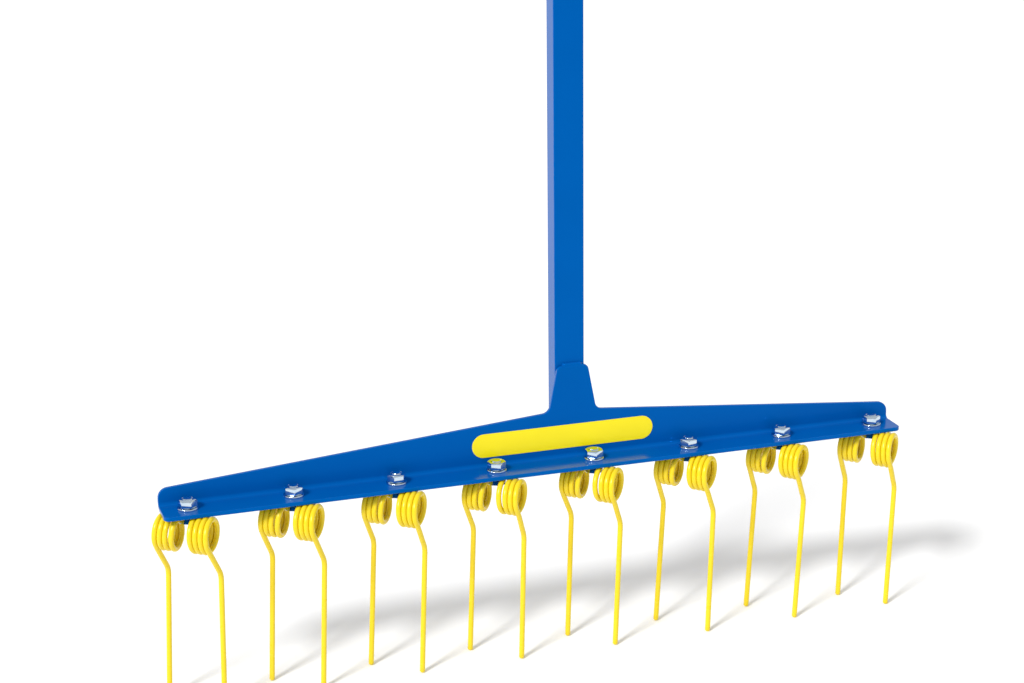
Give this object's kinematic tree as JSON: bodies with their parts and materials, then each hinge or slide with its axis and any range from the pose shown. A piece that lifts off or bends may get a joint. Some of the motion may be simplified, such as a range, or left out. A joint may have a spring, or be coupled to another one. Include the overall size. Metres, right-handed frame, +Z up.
{
  "type": "spring tine rake",
  "caption": "Hand rake with a folded sheet beam on a rectangular tube handle and a row of bolted double coil spring tines that flex.",
  "frame": {"origin": "on the rear face of the handle tube, on its centre line, level with the top face of the beam's flange", "axes": "+X along the beam to the right as seen from the front, +Y to the rear out of the handle's back, +Z up along the handle"},
  "size_m": [0.7625, 0.0755, 1.3872],
  "materials": {
    "blue_powder_coat": "glossy powder coat",
    "yellow_wire_coat": "glossy paint on spring wire",
    "zinc_fastener": "bright zinc plate",
    "yellow_label_film": "satin vinyl film, bare",
    "black_plug_plastic": "moulded polyethylene"
  },
  "bodies": {
    "frame": {"tine_beam": "blue_powder_coat", "handle_tube": "blue_powder_coat", "handle_welds": "blue_powder_coat", "handle_end_plug": "black_plug_plastic", "blank_label": "yellow_label_film", "countersunk_bolts": "zinc_fastener", "flat_washers": "zinc_fastener", "hex_nuts": "zinc_fastener", "tine_1_spring": "yellow_wire_coat", "tine_2_spring": "yellow_wire_coat", "tine_3_spring": "yellow_wire_coat", "tine_4_spring": "yellow_wire_coat", "tine_5_spring": "yellow_wire_coat", "tine_6_spring": "yellow_wire_coat", "tine_7_spring": "yellow_wire_coat", "tine_8_spring": "yellow_wire_coat"},
    "tine_1_left_leg": {"tine_1_left_leg": "yellow_wire_coat"},
    "tine_1_right_leg": {"tine_1_right_leg": "yellow_wire_coat"},
    "tine_2_left_leg": {"tine_2_left_leg": "yellow_wire_coat"},
    "tine_2_right_leg": {"tine_2_right_leg": "yellow_wire_coat"},
    "tine_3_left_leg": {"tine_3_left_leg": "yellow_wire_coat"},
    "tine_3_right_leg": {"tine_3_right_leg": "yellow_wire_coat"},
    "tine_4_left_leg": {"tine_4_left_leg": "yellow_wire_coat"},
    "tine_4_right_leg": {"tine_4_right_leg": "yellow_wire_coat"},
    "tine_5_left_leg": {"tine_5_left_leg": "yellow_wire_coat"},
    "tine_5_right_leg": {"tine_5_right_leg": "yellow_wire_coat"},
    "tine_6_left_leg": {"tine_6_left_leg": "yellow_wire_coat"},
    "tine_6_right_leg": {"tine_6_right_leg": "yellow_wire_coat"},
    "tine_7_left_leg": {"tine_7_left_leg": "yellow_wire_coat"},
    "tine_7_right_leg": {"tine_7_right_leg": "yellow_wire_coat"},
    "tine_8_left_leg": {"tine_8_left_leg": "yellow_wire_coat"},
    "tine_8_right_leg": {"tine_8_right_leg": "yellow_wire_coat"}
  },
  "joints": [
    {"name": "tine_1_left_flex", "type": "hinge", "parent": "frame", "child": "tine_1_left_leg", "pos_m": [-0.38527, -0.04379, -0.0221], "axis": [0.8141, -0.5807, 0], "range_deg": [-12, 35], "stiffness_Nm_per_rad": 18, "deforming": ["tine_1_spring"]},
    {"name": "tine_1_right_flex", "type": "hinge", "parent": "frame", "child": "tine_1_right_leg", "pos_m": [-0.38527, -0.04379, -0.0221], "axis": [0.8141, -0.5807, 0], "range_deg": [-12, 35], "stiffness_Nm_per_rad": 18, "deforming": ["tine_1_spring"]},
    {"name": "tine_2_left_flex", "type": "hinge", "parent": "frame", "child": "tine_2_left_leg", "pos_m": [-0.28537, -0.04372, -0.0221], "axis": [0.8039, -0.5948, 0], "range_deg": [-12, 35], "stiffness_Nm_per_rad": 18, "deforming": ["tine_2_spring"]},
    {"name": "tine_2_right_flex", "type": "hinge", "parent": "frame", "child": "tine_2_right_leg", "pos_m": [-0.28537, -0.04372, -0.0221], "axis": [0.8039, -0.5948, 0], "range_deg": [-12, 35], "stiffness_Nm_per_rad": 18, "deforming": ["tine_2_spring"]},
    {"name": "tine_3_left_flex", "type": "hinge", "parent": "frame", "child": "tine_3_left_leg", "pos_m": [-0.1855, -0.04362, -0.0221], "axis": [0.788, -0.6157, 0], "range_deg": [-12, 35], "stiffness_Nm_per_rad": 18, "deforming": ["tine_3_spring"]},
    {"name": "tine_3_right_flex", "type": "hinge", "parent": "frame", "child": "tine_3_right_leg", "pos_m": [-0.1855, -0.04362, -0.0221], "axis": [0.788, -0.6157, 0], "range_deg": [-12, 35], "stiffness_Nm_per_rad": 18, "deforming": ["tine_3_spring"]},
    {"name": "tine_4_left_flex", "type": "hinge", "parent": "frame", "child": "tine_4_left_leg", "pos_m": [-0.08568, -0.04348, -0.0221], "axis": [0.766, -0.6428, 0], "range_deg": [-12, 35], "stiffness_Nm_per_rad": 18, "deforming": ["tine_4_spring"]},
    {"name": "tine_4_right_flex", "type": "hinge", "parent": "frame", "child": "tine_4_right_leg", "pos_m": [-0.08568, -0.04348, -0.0221], "axis": [0.766, -0.6428, 0], "range_deg": [-12, 35], "stiffness_Nm_per_rad": 18, "deforming": ["tine_4_spring"]},
    {"name": "tine_5_left_flex", "type": "hinge", "parent": "frame", "child": "tine_5_left_leg", "pos_m": [0.01398, -0.04318, -0.0221], "axis": [0.7193, -0.6947, 0], "range_deg": [-12, 35], "stiffness_Nm_per_rad": 18, "deforming": ["tine_5_spring"]},
    {"name": "tine_5_right_flex", "type": "hinge", "parent": "frame", "child": "tine_5_right_leg", "pos_m": [0.01398, -0.04318, -0.0221], "axis": [0.7193, -0.6947, 0], "range_deg": [-12, 35], "stiffness_Nm_per_rad": 18, "deforming": ["tine_5_spring"]},
    {"name": "tine_6_left_flex", "type": "hinge", "parent": "frame", "child": "tine_6_left_leg", "pos_m": [0.11375, -0.04293, -0.0221], "axis": [0.682, -0.7314, 0], "range_deg": [-12, 35], "stiffness_Nm_per_rad": 18, "deforming": ["tine_6_spring"]},
    {"name": "tine_6_right_flex", "type": "hinge", "parent": "frame", "child": "tine_6_right_leg", "pos_m": [0.11375, -0.04293, -0.0221], "axis": [0.682, -0.7314, 0], "range_deg": [-12, 35], "stiffness_Nm_per_rad": 18, "deforming": ["tine_6_spring"]},
    {"name": "tine_7_left_flex", "type": "hinge", "parent": "frame", "child": "tine_7_left_leg", "pos_m": [0.21352, -0.04268, -0.0221], "axis": [0.6428, -0.766, 0], "range_deg": [-12, 35], "stiffness_Nm_per_rad": 18, "deforming": ["tine_7_spring"]},
    {"name": "tine_7_right_flex", "type": "hinge", "parent": "frame", "child": "tine_7_right_leg", "pos_m": [0.21352, -0.04268, -0.0221], "axis": [0.6428, -0.766, 0], "range_deg": [-12, 35], "stiffness_Nm_per_rad": 18, "deforming": ["tine_7_spring"]},
    {"name": "tine_8_left_flex", "type": "hinge", "parent": "frame", "child": "tine_8_left_leg", "pos_m": [0.31382, -0.04301, -0.0221], "axis": [0.6947, -0.7193, 0], "range_deg": [-12, 35], "stiffness_Nm_per_rad": 18, "deforming": ["tine_8_spring"]},
    {"name": "tine_8_right_flex", "type": "hinge", "parent": "frame", "child": "tine_8_right_leg", "pos_m": [0.31382, -0.04301, -0.0221], "axis": [0.6947, -0.7193, 0], "range_deg": [-12, 35], "stiffness_Nm_per_rad": 18, "deforming": ["tine_8_spring"]}
  ]
}
